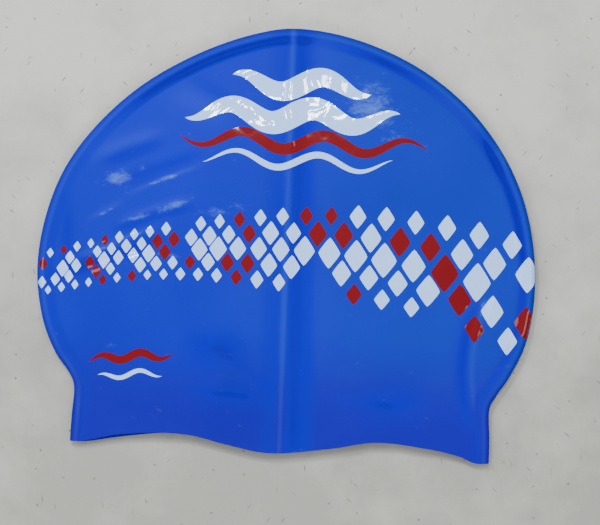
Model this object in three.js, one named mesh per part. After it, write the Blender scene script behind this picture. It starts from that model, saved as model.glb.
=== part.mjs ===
// A moulded silicone swim cap, lying flat.
// It is one piece: an upper and a lower skin that turn into each other round a springy rolled
// edge, open along the mouth where the head goes in. X runs across the cap, Y from the mouth to
// the crown and Z up from the surface that it lies on. All sizes are in millimetres.

import * as THREE from "three";
import { mergeVertices } from "three/addons/utils/BufferGeometryUtils.js";

// Overall size of the flattened cap.
const WIDTH = 220;
const HEIGHT = 188;

// Silicone wall, and the thicker lip that runs round the mouth.
const WALL = 1.0;
const LIP_WALL = 1.6;
const LIP_BAND = 7;

// The rolled edge: half the cap's thickness there, and the groove that runs inside the roll.
const ROLL_RADIUS = 4;
const ROLL_TO_GROOVE = 1.5;
const GROOVE_HALF_WIDTH = 3;
const GROOVE_DEPTH = 1.1;

// From the groove the upper skin rises to its full height, and it comes down again to the mouth.
const PANEL_RISE = 2.2;
const PANEL_RISE_REACH = 34;
const MOUTH_DROP = 1.6;
const MOUTH_DROP_REACH = 34;

// How far the mouth's two arches rise above its centre, and how far up the cap that is felt.
const MOUTH_WAVE = 6.8;
const MOUTH_WAVE_REACH = 95;
// The lower lip looks out a little under the upper one beside the left corner.
const LIP_PEEK = 1.3;

// The tallest of the folds that storage has left in the upper skin.
const FOLD_LIFT = 0.9;

// Left and right outline, row by row from the mouth to the crown.
// up is a share of HEIGHT; left and right are shares of half the WIDTH.
const OUTLINE = [
  { up: 0.0, left: 0.828, right: 0.851 },
  { up: 0.06, left: 0.827, right: 0.848 },
  { up: 0.125, left: 0.824, right: 0.842 },
  { up: 0.16, left: 0.848, right: 0.868 },
  { up: 0.21, left: 0.912, right: 0.92 },
  { up: 0.29, left: 0.97, right: 0.976 },
  { up: 0.4, left: 1.0, right: 1.0 },
  { up: 0.52, left: 0.981, right: 0.984 },
  { up: 0.64, left: 0.914, right: 0.926 },
  { up: 0.75, left: 0.79, right: 0.822 },
  { up: 0.85, left: 0.615, right: 0.667 },
  { up: 0.93, left: 0.398, right: 0.464 },
  { up: 0.982, left: 0.18, right: 0.228 },
  { up: 1.0, left: 0.0, right: 0.0 },
];

// The mouth from corner to corner. across is a share of the way from the centre to a corner,
// rise a share of MOUTH_WAVE and peek one of LIP_PEEK.
const MOUTH = [
  { across: -1.0, rise: 0.06, peek: 0.0 },
  { across: -0.93, rise: 0.12, peek: 0.4 },
  { across: -0.77, rise: 0.64, peek: 1.0 },
  { across: -0.54, rise: 0.94, peek: 0.3 },
  { across: -0.4, rise: 0.84, peek: 0.1 },
  { across: -0.25, rise: 0.42, peek: 0.0 },
  { across: -0.03, rise: 0.0, peek: 0.0 },
  { across: 0.25, rise: 0.5, peek: 0.0 },
  { across: 0.47, rise: 1.06, peek: 0.0 },
  { across: 0.72, rise: 0.8, peek: 0.0 },
  { across: 0.86, rise: 0.43, peek: 0.0 },
  { across: 0.93, rise: 0.07, peek: 0.0 },
  { across: 1.0, rise: 0.08, peek: 0.0 },
];

// How deep the groove is on its way round the edge. along is a share of the edge's length,
// from the left corner of the mouth over the crown to the right one, and depth a share of
// GROOVE_DEPTH.
const GROOVE = [
  { along: 0.0, depth: 0.25 },
  { along: 0.14, depth: 0.35 },
  { along: 0.28, depth: 0.3 },
  { along: 0.37, depth: 1.0 },
  { along: 0.46, depth: 1.0 },
  { along: 0.51, depth: 0.3 },
  { along: 0.58, depth: 0.85 },
  { along: 0.66, depth: 0.35 },
  { along: 0.76, depth: 0.9 },
  { along: 0.88, depth: 0.6 },
  { along: 1.0, depth: 0.3 },
];

// Folds in the upper skin. from and to are its ends, each as a share of WIDTH from the middle and
// a share of HEIGHT from the mouth. bow is how far the fold's middle bends to the left of the
// straight line, and reach its half width, as shares of WIDTH. lift is a share of FOLD_LIFT,
// below zero for a valley, and fade the share of the fold's length over which each end fades.
const FOLDS = [
  { name: "storage_trough", from: [0.035, 1.03], to: [0.068, -0.05],
    bow: 0, reach: 0.042, lift: -1.0, fade: 0.12 },
  { name: "upper_ridge", from: [-0.42, 0.655], to: [-0.25, 0.745],
    bow: 0.004, reach: 0.02, lift: 0.5, fade: 0.35 },
  { name: "upper_valley", from: [-0.39, 0.615], to: [-0.2, 0.7],
    bow: 0.004, reach: 0.02, lift: -0.5, fade: 0.3 },
  { name: "middle_ridge", from: [-0.38, 0.515], to: [-0.19, 0.6],
    bow: 0.006, reach: 0.018, lift: 0.35, fade: 0.3 },
  { name: "lower_valley", from: [-0.48, 0.385], to: [-0.22, 0.5],
    bow: -0.004, reach: 0.02, lift: -0.7, fade: 0.3 },
  { name: "crown_fold", from: [-0.3, 0.85], to: [-0.1, 0.74],
    bow: 0.01, reach: 0.03, lift: 0.4, fade: 0.4 },
  { name: "ear_ridge", from: [0.425, 0.42], to: [0.419, 0.05],
    bow: -0.036, reach: 0.018, lift: 0.35, fade: 0.3 },
  { name: "ear_valley", from: [0.398, 0.42], to: [0.392, 0.05],
    bow: -0.036, reach: 0.018, lift: -0.6, fade: 0.3 },
  { name: "neck_dip", from: [-0.22, 0.24], to: [-0.05, 0.23],
    bow: 0, reach: 0.03, lift: -0.5, fade: 0.4 },
  { name: "lower_dip", from: [-0.19, 0.13], to: [0.01, 0.13],
    bow: 0, reach: 0.03, lift: -0.4, fade: 0.4 },
  { name: "right_dip", from: [0.14, 0.12], to: [0.32, 0.15],
    bow: 0, reach: 0.035, lift: -0.4, fade: 0.4 },
];

// How finely the plan is divided: columns and rows of the panel, and rings round the edge.
const COLUMNS = 32;
const ROWS = 22;
const ROW_CROWDING = 1.2;
const ROLL_RINGS = 4;
const GROOVE_RINGS = 3;
const EDGE_SAMPLES = 400;
// The step over which a slope is read off, and the distance below which points are one.
const SLOPE_STEP = 0.01;
const MERGE_DISTANCE = 1e-4;

// The shares of the edge's length where the left side becomes the crown and the crown the right
// side, and the share beside the mouth over which the way in turns level.
const CROWN_START = 0.33;
const CROWN_END = 0.67;
const LEVELLING = 0.08;

// The groove's middle and the rings' whole width, in from the edge.
const GROOVE_INSET = ROLL_RADIUS + ROLL_TO_GROOVE;
const RING_BAND = GROOVE_INSET + GROOVE_HALF_WIDTH;

const { lerp, smoothstep, clamp } = THREE.MathUtils;

// A smooth reading of one column of a table: the curve through its rows that is level at both
// ends and elsewhere runs through each row in the direction of its neighbours.
function readTable(rows, key, column, at) {
  const last = rows.length - 1;
  const place = clamp(at, rows[0][key], rows[last][key]);
  const next = clamp(rows.findIndex((row) => row[key] >= place), 1, last);
  const slopeAt = (i) => {
    if (i === 0 || i === last) return 0;
    return (rows[i + 1][column] - rows[i - 1][column]) / (rows[i + 1][key] - rows[i - 1][key]);
  };
  const gap = rows[next][key] - rows[next - 1][key];
  const step = rows[next][column] - rows[next - 1][column];
  const [leaving, arriving] = [slopeAt(next - 1) * gap, slopeAt(next) * gap];
  const t = (place - rows[next - 1][key]) / gap;
  const bend = 3 * step - 2 * leaving - arriving + t * (leaving + arriving - 2 * step);
  return rows[next - 1][column] + t * (leaving + t * bend);
}

// The rolled edge seen from above, from the left corner of the mouth over the crown to the right.
const leftPoints = OUTLINE.map((row) => new THREE.Vector2((-row.left * WIDTH) / 2, row.up * HEIGHT));
const rightPoints = OUTLINE.map((row) => new THREE.Vector2((row.right * WIDTH) / 2, row.up * HEIGHT));
const edge = new THREE.SplineCurve([...leftPoints, ...rightPoints.slice(0, -1).reverse()]);
edge.arcLengthDivisions = EDGE_SAMPLES;
const leftCorner = edge.getPoint(0);
const rightCorner = edge.getPoint(1);

// The way in from the edge, level at the mouth so that the mouth's line stays even.
function wayIn(along) {
  const tangent = edge.getTangentAt(along);
  const turn = smoothstep(Math.min(along, 1 - along), 0, LEVELLING);
  return new THREE.Vector2(tangent.y, -tangent.x * turn).normalize();
}

const edgeSamples = Array.from({ length: EDGE_SAMPLES + 1 }, (_, i) => {
  const along = i / EDGE_SAMPLES;
  return { along, point: edge.getPointAt(along) };
});

// A place in the plan: where it is, how far in from the edge, and which way in lies there.
function insetPlace(along, inset) {
  const inwards = wayIn(along);
  const point = edge.getPointAt(along).addScaledVector(inwards, inset);
  return { x: point.x, y: point.y, along, inset, inwards };
}

function panelPlace(x, y) {
  const point = new THREE.Vector2(x, y);
  let nearest = edgeSamples[0];
  for (const sample of edgeSamples)
    if (sample.point.distanceToSquared(point) < nearest.point.distanceToSquared(point))
      nearest = sample;
  const inwards = point.clone().sub(nearest.point);
  return { x, y, along: nearest.along, inset: inwards.length(), inwards: inwards.normalize() };
}

// The panel inside the rings, spanned between the mouth and the innermost ring.
function spanPanel(u, v) {
  const ring = (along) => {
    const { x, y } = insetPlace(along, RING_BAND);
    return new THREE.Vector2(x, y);
  };
  const left = ring(v * CROWN_START);
  const right = ring(1 - v * (1 - CROWN_END));
  const crown = ring(lerp(CROWN_START, CROWN_END, u));
  const corners = [ring(0), ring(1), ring(CROWN_START), ring(CROWN_END)];
  const mouth = corners[0].clone().lerp(corners[1], u);
  const across = left.clone().lerp(right, u);
  const upwards = mouth.clone().lerp(crown, v);
  const shared = corners[0].lerp(corners[1], u).lerp(corners[2].lerp(corners[3], u), v);
  const { x, y } = across.add(upwards).sub(shared);
  return panelPlace(x, y);
}

// The height of one fold at a place: a bell across it, and a parabola for its bow.
function foldLift({ from, to, bow, reach, lift, fade }, x, y) {
  const start = new THREE.Vector2(from[0] * WIDTH, from[1] * HEIGHT);
  const run = new THREE.Vector2(to[0] * WIDTH, to[1] * HEIGHT).sub(start);
  const offset = new THREE.Vector2(x, y).sub(start);
  const along = clamp(offset.dot(run) / run.lengthSq(), 0, 1);
  const aside = offset.cross(run) / run.length() + bow * WIDTH * 4 * along * (1 - along);
  const ends = smoothstep(along, 0, fade) * smoothstep(1 - along, 0, fade);
  return FOLD_LIFT * lift * ends * Math.exp(-((aside / (reach * WIDTH)) ** 2));
}

// The share of its full height that the skin has at an inset: a quarter circle, then flat.
function rollShare(inset) {
  const short = 1 - clamp(inset / ROLL_RADIUS, 0, 1);
  return Math.sqrt(1 - short ** 2);
}

function grooveDip(along, inset) {
  const off = clamp((inset - GROOVE_INSET) / GROOVE_HALF_WIDTH, -1, 1);
  return GROOVE_DEPTH * readTable(GROOVE, "along", "depth", along) * (1 - off ** 2) ** 2;
}

// The upper skin's outer face over a place.
function upperHeight({ x, y, along, inset }) {
  const rise = PANEL_RISE * smoothstep(inset, GROOVE_INSET, GROOVE_INSET + PANEL_RISE_REACH);
  const drop = MOUTH_DROP * (1 - smoothstep(y, 0, MOUTH_DROP_REACH));
  const folds = FOLDS.reduce((sum, fold) => sum + foldLift(fold, x, y), 0);
  const height = ROLL_RADIUS + rise - drop + folds - grooveDip(along, inset);
  return ROLL_RADIUS + height * rollShare(inset);
}

// The lower skin's outer face, flat where it rests.
const lowerHeight = ({ inset }) => ROLL_RADIUS * (1 - rollShare(inset));

// The way out of a skin at a place; facing is 1 for the upper skin and -1 for the lower.
function wayOut(place, heightOf, facing) {
  const { x, y, inset, inwards } = place;
  if (inset === 0) return new THREE.Vector3(-inwards.x, -inwards.y, 0);
  const heightBeside = (dx, dy) => {
    const movedInset = Math.max(inset + dx * inwards.x + dy * inwards.y, 0);
    return heightOf({ ...place, x: x + dx, y: y + dy, inset: movedInset });
  };
  const slopeX = heightBeside(SLOPE_STEP, 0) - heightBeside(-SLOPE_STEP, 0);
  const slopeY = heightBeside(0, SLOPE_STEP) - heightBeside(0, -SLOPE_STEP);
  return new THREE.Vector3(-slopeX, -slopeY, 2 * SLOPE_STEP).multiplyScalar(facing).normalize();
}

// A skin's point at a place, on its outer face or the wall's thickness behind it.
function skinPoint(place, heightOf, facing, wall) {
  const outer = new THREE.Vector3(place.x, place.y, heightOf(place));
  return outer.addScaledVector(wayOut(place, heightOf, facing), -wall);
}

// The mouth's wave, which pulls the lower part of the cap up or down.
function waveShift(x, y, peeks) {
  const across = x < 0 ? -x / leftCorner.x : x / rightCorner.x;
  const rise = MOUTH_WAVE * readTable(MOUTH, "across", "rise", across);
  const peek = peeks ? LIP_PEEK * readTable(MOUTH, "across", "peek", across) : 0;
  return (rise - peek) * (1 - smoothstep(y, 0, MOUTH_WAVE_REACH));
}

// How far up the sides a row lies: the rows crowd a little towards the mouth.
const rowShare = (row) => (row / ROWS) ** ROW_CROWDING;

// Where the lattice's lines meet the edge: up the left side, over the crown and down the right.
function makeStations() {
  const sideShares = Array.from({ length: ROWS }, (_, row) => rowShare(row));
  const crownShares = Array.from({ length: COLUMNS + 1 }, (_, column) => column / COLUMNS);
  return [
    ...sideShares.map((share) => share * CROWN_START),
    ...crownShares.map((share) => lerp(CROWN_START, CROWN_END, share)),
    ...sideShares.reverse().map((share) => 1 - share * (1 - CROWN_END)),
  ];
}

// How far in the rings lie: close together round the roll, then evenly over the groove.
function makeInsets() {
  const insets = [];
  for (let ring = 0; ring < ROLL_RINGS; ring++)
    insets.push(ROLL_RADIUS * (1 - Math.cos(((ring / ROLL_RINGS) * Math.PI) / 2)));
  for (let ring = 0; ring <= GROOVE_RINGS; ring++)
    insets.push(lerp(ROLL_RADIUS, RING_BAND, ring / GROOVE_RINGS));
  return insets;
}

// The quads between two neighbouring lines of the lattice.
const quadsBetween = (line, next) =>
  line.slice(1).map((_, i) => [line[i], line[i + 1], next[i + 1], next[i]]);

// The plan's lattice: rings that follow the edge, and the panel's rows and columns inside them.
// mouth lists its places along the mouth, from the left corner to the right.
function makePlan() {
  const stations = makeStations();
  const last = stations.length - 1;
  const places = [];
  const addPlace = (place) => places.push(place) - 1;
  const rings = makeInsets().map((inset) => stations.map((along) => addPlace(insetPlace(along, inset))));
  const innermost = rings[rings.length - 1];

  const rows = [];
  for (let row = 0; row < ROWS; row++) {
    rows.push([innermost[row]]);
    for (let column = 1; column < COLUMNS; column++)
      rows[row].push(addPlace(spanPanel(column / COLUMNS, rowShare(row))));
    rows[row].push(innermost[last - row]);
  }
  rows.push(innermost.slice(ROWS, ROWS + COLUMNS + 1));

  const quads = [
    ...rings.slice(1).flatMap((ring, i) => quadsBetween(ring, rings[i])),
    ...rows.slice(1).flatMap((row, i) => quadsBetween(rows[i], row)),
  ];
  const mouth = [
    ...rings.map((ring) => ring[0]),
    ...rows[0].slice(1, -1),
    ...rings.map((ring) => ring[last]).reverse(),
  ];
  return { places, quads, mouth };
}

// The cap as one closed wall: four faces over the same lattice, joined by the lip's two strips.
function makeShell() {
  const { places, quads, mouth } = makePlan();
  const positions = [];
  const triangles = [];
  const addQuad = (a, b, c, d, turned) => {
    if (turned) triangles.push(a, c, b, a, d, c);
    else triangles.push(a, b, c, a, c, d);
  };
  const addFace = (heightOf, facing, inner) => {
    const first = positions.length / 3;
    for (const place of places) {
      const lip = 1 - smoothstep(place.y, 0, LIP_BAND);
      const wall = inner ? lerp(WALL, LIP_WALL, lip) : 0;
      const point = skinPoint(place, heightOf, facing, wall);
      point.y += waveShift(place.x, place.y, facing < 0 && place.inset > 0);
      positions.push(...point);
    }
    const turned = facing < 0 !== inner;
    for (const [a, b, c, d] of quads) addQuad(first + a, first + b, first + c, first + d, turned);
    return first;
  };
  const upperOuter = addFace(upperHeight, 1, false);
  const upperInner = addFace(upperHeight, 1, true);
  const lowerOuter = addFace(lowerHeight, -1, false);
  const lowerInner = addFace(lowerHeight, -1, true);
  for (let i = 0; i + 1 < mouth.length; i++) {
    const [a, b] = [mouth[i], mouth[i + 1]];
    addQuad(upperOuter + a, upperInner + a, upperInner + b, upperOuter + b, false);
    addQuad(lowerOuter + a, lowerInner + a, lowerInner + b, lowerOuter + b, true);
  }
  const geometry = new THREE.BufferGeometry();
  geometry.setAttribute("position", new THREE.Float32BufferAttribute(positions, 3));
  geometry.setIndex(triangles);
  return mergeVertices(geometry, MERGE_DISTANCE);
}

const silicone = new THREE.MeshStandardMaterial({ color: 0x1f57c6, roughness: 0.4, metalness: 0 });

// The cap stands on the middle of its box's underside.
const shell = makeShell();
shell.computeBoundingBox();
const centre = shell.boundingBox.getCenter(new THREE.Vector3());
shell.translate(-centre.x, -centre.y, -shell.boundingBox.min.z);
shell.computeVertexNormals();

const capShell = new THREE.Mesh(shell, silicone);
capShell.name = "cap_shell";

const cap = new THREE.Group();
cap.add(capShell);

export default cap;
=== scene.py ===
import functools
import math
import random

import bmesh
import bpy
from mathutils import Matrix, Vector, noise
from mathutils.kdtree import KDTree


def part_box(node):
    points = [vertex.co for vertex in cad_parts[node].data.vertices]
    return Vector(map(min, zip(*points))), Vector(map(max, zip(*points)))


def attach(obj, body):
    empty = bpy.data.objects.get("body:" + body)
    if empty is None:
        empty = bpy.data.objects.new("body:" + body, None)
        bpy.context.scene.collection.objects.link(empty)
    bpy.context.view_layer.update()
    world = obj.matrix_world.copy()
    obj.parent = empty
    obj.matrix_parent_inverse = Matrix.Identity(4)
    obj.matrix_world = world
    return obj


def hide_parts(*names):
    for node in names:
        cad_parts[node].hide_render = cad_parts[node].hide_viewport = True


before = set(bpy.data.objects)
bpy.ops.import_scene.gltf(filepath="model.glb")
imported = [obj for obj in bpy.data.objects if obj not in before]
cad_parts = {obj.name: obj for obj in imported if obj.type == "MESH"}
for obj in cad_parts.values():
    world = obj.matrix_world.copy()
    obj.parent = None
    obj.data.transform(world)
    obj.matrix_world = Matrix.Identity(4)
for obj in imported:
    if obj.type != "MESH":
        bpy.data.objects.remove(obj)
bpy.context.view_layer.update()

# A moulded silicone swim cap with a print in white and red ink, lying flat on a pale floor.
# X runs across the cap, Y from the mouth to the crown and Z up. All sizes are in metres.

MM = 0.001

# The cap's overall size and the line of its mouth, from the frame.
LOW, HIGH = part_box("cap_shell")
WIDTH = HIGH.x - LOW.x
HEIGHT = HIGH.y - LOW.y
MOUTH_Y = LOW.y

# Silicone wall, and the thicker lip that runs round the mouth in a band. Edges of the lip that turn
# by more than the given angle are rounded.
WALL = 1.0 * MM
LIP_WALL = 1.6 * MM
LIP_BAND = 7 * MM
LIP_ROUNDING = 0.35 * MM
LIP_EDGE_TURN = math.radians(50)

# The rolled edge: half the cap's thickness there, and the groove that runs inside the roll.
ROLL_RADIUS = 4 * MM
ROLL_TO_GROOVE = 1.5 * MM
GROOVE_HALF_WIDTH = 3 * MM
GROOVE_DEPTH = 1.1 * MM
GROOVE_INSET = ROLL_RADIUS + ROLL_TO_GROOVE
RING_BAND = GROOVE_INSET + GROOVE_HALF_WIDTH

# From the groove the upper skin rises to its full height, and it comes down again to the mouth.
PANEL_RISE = 2.2 * MM
PANEL_RISE_REACH = 34 * MM
MOUTH_DROP = 1.6 * MM
MOUTH_DROP_REACH = 34 * MM

# How far the mouth's arches rise above its centre, and how far up the cap that is felt. On the left
# the lower skin's lip peeks out from under the upper one.
MOUTH_WAVE = 6.8 * MM
MOUTH_WAVE_REACH = 95 * MM
LIP_PEEK = 1.3 * MM

# Soft unevenness of the upper skin: how long and how high its waves are.
WAVE_LENGTH = 34 * MM
WAVE_LIFT = 0.22 * MM

# The ink lies on the skin as a film that stands a little proud of it. Where a shape of the print runs
# over the cap's edge, it ends at a margin inside the outline.
INK_PROUD = 0.1 * MM
INK_FILM = 0.2 * MM
EDGE_MARGIN = 0.5 * MM

# Left and right outline, row by row from the mouth to the crown.
# up is a share of HEIGHT; left and right are shares of half the WIDTH.
OUTLINE = [
    {"up": 0.0, "left": 0.828, "right": 0.851},
    {"up": 0.06, "left": 0.827, "right": 0.848},
    {"up": 0.125, "left": 0.824, "right": 0.842},
    {"up": 0.16, "left": 0.848, "right": 0.868},
    {"up": 0.21, "left": 0.912, "right": 0.92},
    {"up": 0.29, "left": 0.97, "right": 0.976},
    {"up": 0.4, "left": 1.0, "right": 1.0},
    {"up": 0.52, "left": 0.981, "right": 0.984},
    {"up": 0.64, "left": 0.914, "right": 0.926},
    {"up": 0.75, "left": 0.79, "right": 0.822},
    {"up": 0.85, "left": 0.615, "right": 0.667},
    {"up": 0.93, "left": 0.398, "right": 0.464},
    {"up": 0.982, "left": 0.18, "right": 0.228},
    {"up": 1.0, "left": 0.0, "right": 0.0},
]

# The mouth from corner to corner. across is a share of the way from the centre to a corner,
# rise a share of MOUTH_WAVE and peek one of LIP_PEEK.
MOUTH = [
    {"across": -1.0, "rise": 0.06, "peek": 0.0},
    {"across": -0.93, "rise": 0.12, "peek": 0.4},
    {"across": -0.77, "rise": 0.64, "peek": 1.0},
    {"across": -0.54, "rise": 0.94, "peek": 0.3},
    {"across": -0.4, "rise": 0.84, "peek": 0.1},
    {"across": -0.25, "rise": 0.42, "peek": 0.0},
    {"across": -0.03, "rise": 0.0, "peek": 0.0},
    {"across": 0.25, "rise": 0.5, "peek": 0.0},
    {"across": 0.47, "rise": 1.06, "peek": 0.0},
    {"across": 0.72, "rise": 0.8, "peek": 0.0},
    {"across": 0.86, "rise": 0.43, "peek": 0.0},
    {"across": 0.93, "rise": 0.07, "peek": 0.0},
    {"across": 1.0, "rise": 0.08, "peek": 0.0},
]

# How deep the groove is on its way round the edge. along is a share of the edge's length, from
# the left corner of the mouth over the crown to the right one, and depth one of GROOVE_DEPTH.
GROOVE = [
    {"along": 0.0, "depth": 0.25},
    {"along": 0.14, "depth": 0.35},
    {"along": 0.28, "depth": 0.3},
    {"along": 0.37, "depth": 1.0},
    {"along": 0.46, "depth": 1.0},
    {"along": 0.51, "depth": 0.3},
    {"along": 0.58, "depth": 0.85},
    {"along": 0.66, "depth": 0.35},
    {"along": 0.76, "depth": 0.9},
    {"along": 0.88, "depth": 0.6},
    {"along": 1.0, "depth": 0.3},
]

# Folds in the upper skin. start and end are shares of WIDTH from the middle and of HEIGHT from
# the mouth. bow is how far the middle bends to the left of the straight way from start to end, and
# reach is the half width, as shares of WIDTH. lift is in metres, below zero for a valley, and fade
# is the share of the fold's length over which each end fades.
FOLDS = [
    {"name": "storage ridge", "start": (-0.0125, 1.03), "end": (0.01, -0.05), "bow": 0.0, "reach": 0.007,
     "lift": 0.45 * MM, "fade": 0.1},
    {"name": "storage drop", "start": (0.016, 1.03), "end": (0.042, -0.05), "bow": 0.0, "reach": 0.016,
     "lift": -0.35 * MM, "fade": 0.1},
    {"name": "storage trough", "start": (0.045, 1.03), "end": (0.08, -0.05), "bow": 0.0, "reach": 0.045,
     "lift": -0.55 * MM, "fade": 0.1},
    {"name": "storage foot", "start": (-0.044, 0.9), "end": (-0.022, -0.05), "bow": 0.0, "reach": 0.012,
     "lift": -0.3 * MM, "fade": 0.15},
    {"name": "upper broad ridge", "start": (-0.42, 0.655), "end": (-0.25, 0.745), "bow": 0.004,
     "reach": 0.016, "lift": 0.5 * MM, "fade": 0.35},
    {"name": "upper broad valley", "start": (-0.4, 0.64), "end": (-0.24, 0.715), "bow": 0.004,
     "reach": 0.012, "lift": -0.5 * MM, "fade": 0.35},
    {"name": "first ridge", "start": (-0.34, 0.575), "end": (-0.16, 0.67), "bow": 0.004, "reach": 0.006,
     "lift": 0.4 * MM, "fade": 0.3},
    {"name": "first valley", "start": (-0.36, 0.595), "end": (-0.17, 0.69), "bow": 0.004, "reach": 0.012,
     "lift": -0.45 * MM, "fade": 0.3},
    {"name": "second ridge", "start": (-0.41, 0.51), "end": (-0.325, 0.57), "bow": 0.004, "reach": 0.006,
     "lift": 0.35 * MM, "fade": 0.3},
    {"name": "third ridge", "start": (-0.355, 0.508), "end": (-0.18, 0.59), "bow": 0.006, "reach": 0.006,
     "lift": 0.45 * MM, "fade": 0.3},
    {"name": "third valley", "start": (-0.37, 0.482), "end": (-0.17, 0.565), "bow": 0.006, "reach": 0.01,
     "lift": -0.4 * MM, "fade": 0.3},
    {"name": "fourth ridge", "start": (-0.35, 0.47), "end": (-0.255, 0.515), "bow": 0.002, "reach": 0.006,
     "lift": 0.35 * MM, "fade": 0.3},
    {"name": "fifth ridge", "start": (-0.43, 0.425), "end": (-0.3, 0.488), "bow": 0.002, "reach": 0.007,
     "lift": 0.5 * MM, "fade": 0.3},
    {"name": "fifth valley", "start": (-0.49, 0.375), "end": (-0.23, 0.495), "bow": -0.004, "reach": 0.012,
     "lift": -0.8 * MM, "fade": 0.3},
    {"name": "left shoulder", "start": (-0.445, 0.6), "end": (-0.437, 0.33), "bow": 0.0, "reach": 0.012,
     "lift": -0.35 * MM, "fade": 0.4},
    {"name": "crown crease", "start": (-0.24, 0.88), "end": (-0.02, 0.755), "bow": 0.004, "reach": 0.01,
     "lift": -0.3 * MM, "fade": 0.3},
    {"name": "crown fold", "start": (-0.3, 0.85), "end": (-0.1, 0.74), "bow": 0.01, "reach": 0.03,
     "lift": 0.35 * MM, "fade": 0.4},
    {"name": "ear ridge", "start": (0.418, 0.42), "end": (0.412, 0.05), "bow": -0.036, "reach": 0.007,
     "lift": 0.55 * MM, "fade": 0.25},
    {"name": "ear valley", "start": (0.4, 0.42), "end": (0.394, 0.05), "bow": -0.036, "reach": 0.016,
     "lift": -0.6 * MM, "fade": 0.3},
    {"name": "neck dip", "start": (-0.22, 0.24), "end": (-0.05, 0.23), "bow": 0.0, "reach": 0.03,
     "lift": -0.5 * MM, "fade": 0.4},
    {"name": "lower dip", "start": (-0.19, 0.13), "end": (0.01, 0.13), "bow": 0.0, "reach": 0.028,
     "lift": -0.4 * MM, "fade": 0.4},
    {"name": "right dip", "start": (0.14, 0.12), "end": (0.32, 0.15), "bow": 0.0, "reach": 0.035,
     "lift": -0.4 * MM, "fade": 0.4},
    {"name": "slanting valley", "start": (-0.15, 0.253), "end": (0.0, 0.132), "bow": 0.0, "reach": 0.011,
     "lift": -0.3 * MM, "fade": 0.3},
    {"name": "lower left valley", "start": (-0.2, 0.14), "end": (-0.03, 0.125), "bow": 0.0, "reach": 0.011,
     "lift": -0.25 * MM, "fade": 0.3},
    {"name": "lower right valley", "start": (0.09, 0.135), "end": (0.26, 0.12), "bow": 0.0, "reach": 0.011,
     "lift": -0.25 * MM, "fade": 0.3},
    {"name": "neck crest", "start": (-0.436, 0.211), "end": (-0.393, 0.02), "bow": 0.008, "reach": 0.0045,
     "lift": 0.25 * MM, "fade": 0.2},
    {"name": "crest above the right ear", "start": (0.38, 0.81), "end": (0.437, 0.67), "bow": 0.004,
     "reach": 0.005, "lift": 0.5 * MM, "fade": 0.35},
    {"name": "valley inside it", "start": (0.37, 0.79), "end": (0.425, 0.66), "bow": 0.004,
     "reach": 0.01, "lift": -0.5 * MM, "fade": 0.35},
]

# A fold isn't felt beyond this many half widths.
FOLD_TAIL = 3

# Places of the skin with a painted reflection: a pale haze where the lamps would shine, most of them
# along folds. x and y are the middle, as shares of WIDTH and HEIGHT, length and width the half sizes
# as shares of WIDTH, turn is in degrees and strength is 1 for the brightest.
PAINTED_HAZES = [
    {"name": "above the first ridge", "x": -0.346, "y": 0.624, "length": 0.028, "width": 0.016, "turn": 5,
     "strength": 0.9},
    {"name": "end of it", "x": -0.299, "y": 0.65, "length": 0.018, "width": 0.007, "turn": 35,
     "strength": 0.6},
    {"name": "first ridge", "x": -0.262, "y": 0.62, "length": 0.055, "width": 0.003, "turn": 23,
     "strength": 1.0},
    {"name": "second ridge", "x": -0.363, "y": 0.544, "length": 0.024, "width": 0.003, "turn": 33,
     "strength": 0.7},
    {"name": "third ridge", "x": -0.303, "y": 0.531, "length": 0.03, "width": 0.005, "turn": 17,
     "strength": 0.9},
    {"name": "third ridge's end", "x": -0.232, "y": 0.564, "length": 0.036, "width": 0.009, "turn": 20,
     "strength": 1.0},
    {"name": "fourth ridge", "x": -0.301, "y": 0.494, "length": 0.034, "width": 0.003, "turn": 24,
     "strength": 0.8},
    {"name": "fifth ridge", "x": -0.363, "y": 0.458, "length": 0.034, "width": 0.003, "turn": 25,
     "strength": 0.8},
    {"name": "by the middle", "x": -0.14, "y": 0.555, "length": 0.05, "width": 0.014, "turn": 20,
     "strength": 0.45},
    {"name": "under the middle", "x": -0.158, "y": 0.477, "length": 0.026, "width": 0.012, "turn": 10,
     "strength": 0.5},
    {"name": "under the third ridge", "x": -0.238, "y": 0.449, "length": 0.024, "width": 0.008, "turn": -10,
     "strength": 0.6},
    {"name": "crown, right", "x": 0.15, "y": 0.82, "length": 0.06, "width": 0.045, "turn": -30,
     "strength": 0.75},
    {"name": "under it", "x": 0.12, "y": 0.78, "length": 0.08, "width": 0.006, "turn": -8, "strength": 0.7},
    {"name": "crown, far right", "x": 0.2, "y": 0.76, "length": 0.08, "width": 0.04, "turn": -30,
     "strength": 0.3},
    {"name": "by the right ear", "x": 0.395, "y": 0.37, "length": 0.03, "width": 0.006, "turn": 80,
     "strength": 0.6},
    {"name": "neck, left", "x": -0.345, "y": 0.234, "length": 0.02, "width": 0.012, "turn": 70,
     "strength": 0.3},
]

# Places where the ink is creased, with the same columns.
CREASES = [
    {"name": "crown", "x": 0.0, "y": 0.83, "length": 0.24, "width": 0.1, "turn": 0, "strength": 1.0},
    {"name": "left folds", "x": -0.3, "y": 0.5, "length": 0.2, "width": 0.1, "turn": 20, "strength": 0.3},
    {"name": "right ear", "x": 0.41, "y": 0.38, "length": 0.05, "width": 0.05, "turn": 0, "strength": 1.0},
    {"name": "everywhere", "x": 0.0, "y": 0.5, "length": 2.0, "width": 2.0, "turn": 0, "strength": 0.1},
]
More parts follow.
